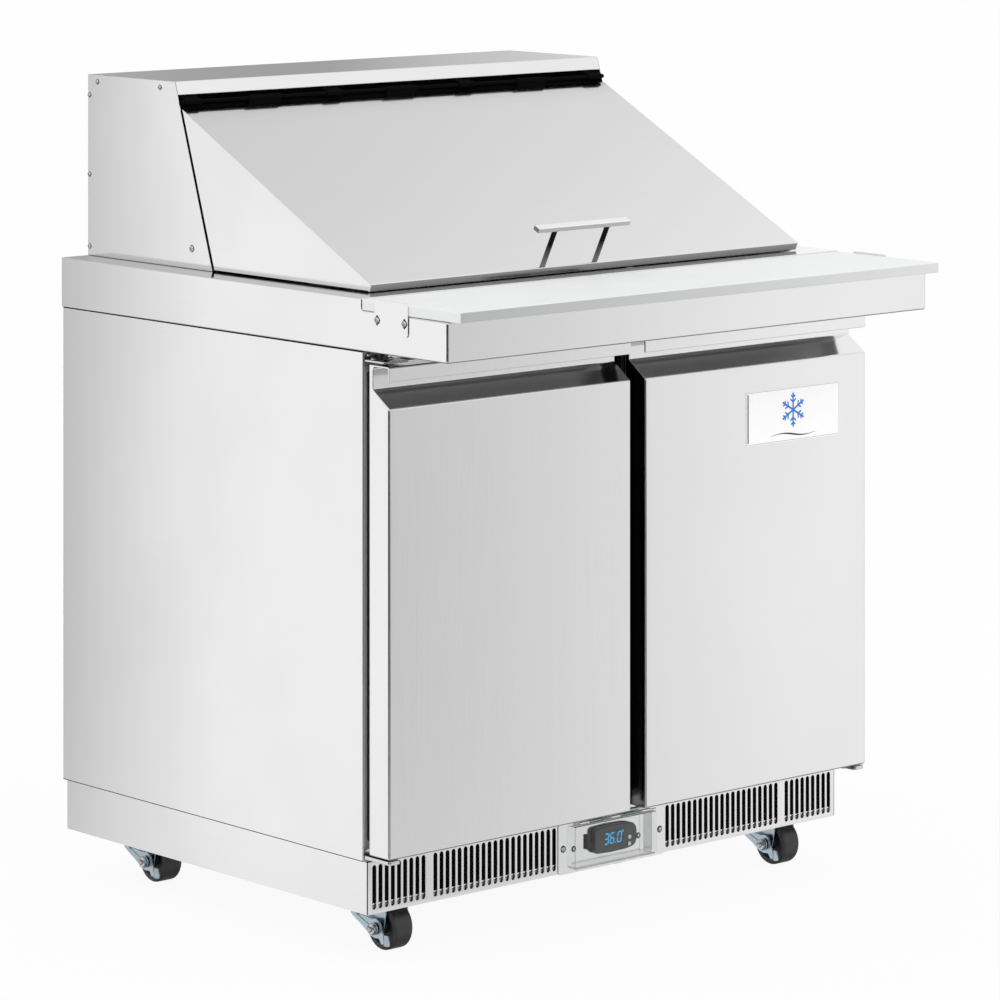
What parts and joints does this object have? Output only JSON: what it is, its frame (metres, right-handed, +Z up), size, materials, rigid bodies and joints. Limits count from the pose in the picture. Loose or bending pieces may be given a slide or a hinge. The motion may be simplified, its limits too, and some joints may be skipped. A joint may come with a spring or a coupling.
{
  "type": "sandwich prep table",
  "caption": "Refrigerated sandwich prep table: two-door base on casters, sloped lift-up lid over cold food pans, and a cutting board along the front.",
  "frame": {"origin": "on the floor under the middle of the table", "axes": "+Z up, +Y towards the back, +X towards the right-hand door seen from the front"},
  "size_m": [0.93, 0.8964, 1.1772],
  "materials": {
    "steel_sheet": "fine vertical brushed grain, satin",
    "galvanised": "bright zinc, satin",
    "aluminium_liner": "smooth satin",
    "zinc": "blue passivated zinc",
    "dark_paint": "semi-gloss black enamel",
    "gasket": "soft matt vinyl",
    "tread": "moulded polyurethane, satin",
    "foam": "rigid closed-cell foam",
    "white_plastic": "smooth moulded",
    "board": "fine orange-peel, knife marks",
    "casing": "fine texture",
    "button": "smooth",
    "clear_cover": "clear polycarbonate"
  },
  "bodies": {
    "cabinet": {"left_side_panel": "steel_sheet", "right_side_panel": "steel_sheet", "rear_panel": "steel_sheet", "cabinet_insulation": "foam", "cavity_liner": "aluminium_liner", "face_frame": "steel_sheet", "wire_shelf": "galvanised", "evaporator_cover": "aluminium_liner", "evaporator_coil": "aluminium_liner", "condenser_coil": "dark_paint", "compressor": "dark_paint", "plinth_frame": "steel_sheet", "front_grille": "steel_sheet", "control_bezel": "steel_sheet", "temperature_controller": "casing", "worktop": "steel_sheet", "pan_divider_bar": "steel_sheet", "left_board_bracket": "steel_sheet", "right_board_bracket": "steel_sheet", "hood_shell": "steel_sheet", "left_hood_side": "steel_sheet", "right_hood_side": "steel_sheet", "lid_hinge_pin": "zinc", "left_upper_hinge": "steel_sheet", "left_lower_hinge": "steel_sheet", "right_upper_hinge": "steel_sheet", "right_lower_hinge": "steel_sheet"},
    "left_door": {"left_door_skin": "steel_sheet", "left_door_liner": "white_plastic", "left_door_gasket": "gasket"},
    "right_door": {"right_door_skin": "steel_sheet", "right_door_liner": "white_plastic", "right_door_gasket": "gasket"},
    "lid": {"lid_shell": "steel_sheet", "lid_liner": "white_plastic", "lid_handle": "steel_sheet"},
    "cutting_board": {"cutting_board": "board"},
    "control_cover": {"control_cover": "clear_cover"},
    "set_button": {"controller_set_button": "button"},
    "power_button": {"controller_power_button": "button"},
    "evaporator_fan": {"evaporator_fan": "casing"},
    "condenser_fan": {"condenser_fan": "casing"},
    "front_left_pan": {"front_left_pan": "steel_sheet"},
    "front_centre_pan": {"front_centre_pan": "steel_sheet"},
    "front_right_pan": {"front_right_pan": "steel_sheet"},
    "rear_left_pan": {"rear_left_pan": "steel_sheet"},
    "rear_centre_pan": {"rear_centre_pan": "steel_sheet"},
    "rear_right_pan": {"rear_right_pan": "steel_sheet"},
    "front_left_caster": {"front_left_caster_fork": "zinc"},
    "front_left_wheel": {"front_left_caster_wheel": "tread"},
    "front_left_brake": {"front_left_brake_lever": "zinc"},
    "front_right_caster": {"front_right_caster_fork": "zinc"},
    "front_right_wheel": {"front_right_caster_wheel": "tread"},
    "front_right_brake": {"front_right_brake_lever": "zinc"},
    "rear_left_caster": {"rear_left_caster_fork": "zinc"},
    "rear_left_wheel": {"rear_left_caster_wheel": "tread"},
    "rear_left_brake": {"rear_left_brake_lever": "zinc"},
    "rear_right_caster": {"rear_right_caster_fork": "zinc"},
    "rear_right_wheel": {"rear_right_caster_wheel": "tread"},
    "rear_right_brake": {"rear_right_brake_lever": "zinc"}
  },
  "joints": [
    {"name": "board_lift", "type": "slide", "parent": "cabinet", "child": "cutting_board", "axis": [0, 0, 1], "range_m": [0, 0.15]},
    {"name": "control_cover_hinge", "type": "hinge", "parent": "cabinet", "child": "control_cover", "pos_m": [0, -0.2516, 0.1342], "axis": [-1, 0, 0], "range_deg": [0, 85]},
    {"name": "controller_power_press", "type": "slide", "parent": "cabinet", "child": "power_button", "axis": [0, 1, 0], "range_m": [0, 0.0005], "stiffness_N_per_m": 400},
    {"name": "controller_set_press", "type": "slide", "parent": "cabinet", "child": "set_button", "axis": [0, 1, 0], "range_m": [0, 0.0005], "stiffness_N_per_m": 400},
    {"name": "door_left_hinge", "type": "hinge", "parent": "cabinet", "child": "left_door", "pos_m": [-0.446, -0.272, 0.485], "axis": [0, 0, -1], "range_deg": [0, 105]},
    {"name": "door_right_hinge", "type": "hinge", "parent": "cabinet", "child": "right_door", "pos_m": [0.446, -0.272, 0.485], "axis": [0, 0, 1], "range_deg": [0, 105]},
    {"name": "lid_hinge", "type": "hinge", "parent": "cabinet", "child": "lid", "pos_m": [0, 0.222, 1.148], "axis": [-1, 0, 0], "range_deg": [0, 95]},
    {"name": "pan_front_left_lift", "type": "slide", "parent": "cabinet", "child": "front_left_pan", "axis": [0, 0, 1], "range_m": [0, 0.012]},
    {"name": "pan_front_centre_lift", "type": "slide", "parent": "cabinet", "child": "front_centre_pan", "axis": [0, 0, 1], "range_m": [0, 0.012]},
    {"name": "pan_front_right_lift", "type": "slide", "parent": "cabinet", "child": "front_right_pan", "axis": [0, 0, 1], "range_m": [0, 0.012]},
    {"name": "pan_rear_left_lift", "type": "slide", "parent": "cabinet", "child": "rear_left_pan", "axis": [0, 0, 1], "range_m": [0, 0.12]},
    {"name": "pan_rear_centre_lift", "type": "slide", "parent": "cabinet", "child": "rear_centre_pan", "axis": [0, 0, 1], "range_m": [0, 0.12]},
    {"name": "pan_rear_right_lift", "type": "slide", "parent": "cabinet", "child": "rear_right_pan", "axis": [0, 0, 1], "range_m": [0, 0.12]},
    {"name": "rotor_condenser_spin", "type": "hinge", "parent": "cabinet", "child": "condenser_fan", "pos_m": [-0.28, 0.28, 0.194], "axis": [0, 1, 0], "continuous": true},
    {"name": "rotor_evaporator_spin", "type": "hinge", "parent": "cabinet", "child": "evaporator_fan", "pos_m": [0, 0.318, 0.47], "axis": [0, 1, 0], "continuous": true},
    {"name": "swivel_front_left", "type": "hinge", "parent": "cabinet", "child": "front_left_caster", "pos_m": [-0.3769, -0.17555, 0.07], "axis": [0, 0, 1], "continuous": true},
    {"name": "wheel_front_left_roll", "type": "hinge", "parent": "front_left_caster", "child": "front_left_wheel", "pos_m": [-0.3769, -0.20055, 0.03175], "axis": [1, 0, 0], "continuous": true},
    {"name": "toe_front_left_brake", "type": "hinge", "parent": "front_left_caster", "child": "front_left_brake", "pos_m": [-0.3769, -0.20055, 0.03175], "axis": [-1, 0, 0], "range_deg": [0, 14]},
    {"name": "swivel_front_right", "type": "hinge", "parent": "cabinet", "child": "front_right_caster", "pos_m": [0.3769, -0.17555, 0.07], "axis": [0, 0, 1], "continuous": true},
    {"name": "wheel_front_right_roll", "type": "hinge", "parent": "front_right_caster", "child": "front_right_wheel", "pos_m": [0.3769, -0.20055, 0.03175], "axis": [1, 0, 0], "continuous": true},
    {"name": "toe_front_right_brake", "type": "hinge", "parent": "front_right_caster", "child": "front_right_brake", "pos_m": [0.3769, -0.20055, 0.03175], "axis": [-1, 0, 0], "range_deg": [0, 14]},
    {"name": "swivel_rear_left", "type": "hinge", "parent": "cabinet", "child": "rear_left_caster", "pos_m": [-0.3769, 0.34575, 0.07], "axis": [0, 0, 1], "continuous": true},
    {"name": "wheel_rear_left_roll", "type": "hinge", "parent": "rear_left_caster", "child": "rear_left_wheel", "pos_m": [-0.3769, 0.32075, 0.03175], "axis": [1, 0, 0], "continuous": true},
    {"name": "toe_rear_left_brake", "type": "hinge", "parent": "rear_left_caster", "child": "rear_left_brake", "pos_m": [-0.3769, 0.32075, 0.03175], "axis": [-1, 0, 0], "range_deg": [0, 14]},
    {"name": "swivel_rear_right", "type": "hinge", "parent": "cabinet", "child": "rear_right_caster", "pos_m": [0.3769, 0.34575, 0.07], "axis": [0, 0, 1], "continuous": true},
    {"name": "wheel_rear_right_roll", "type": "hinge", "parent": "rear_right_caster", "child": "rear_right_wheel", "pos_m": [0.3769, 0.32075, 0.03175], "axis": [1, 0, 0], "continuous": true},
    {"name": "toe_rear_right_brake", "type": "hinge", "parent": "rear_right_caster", "child": "rear_right_brake", "pos_m": [0.3769, 0.32075, 0.03175], "axis": [-1, 0, 0], "range_deg": [0, 14]}
  ]
}
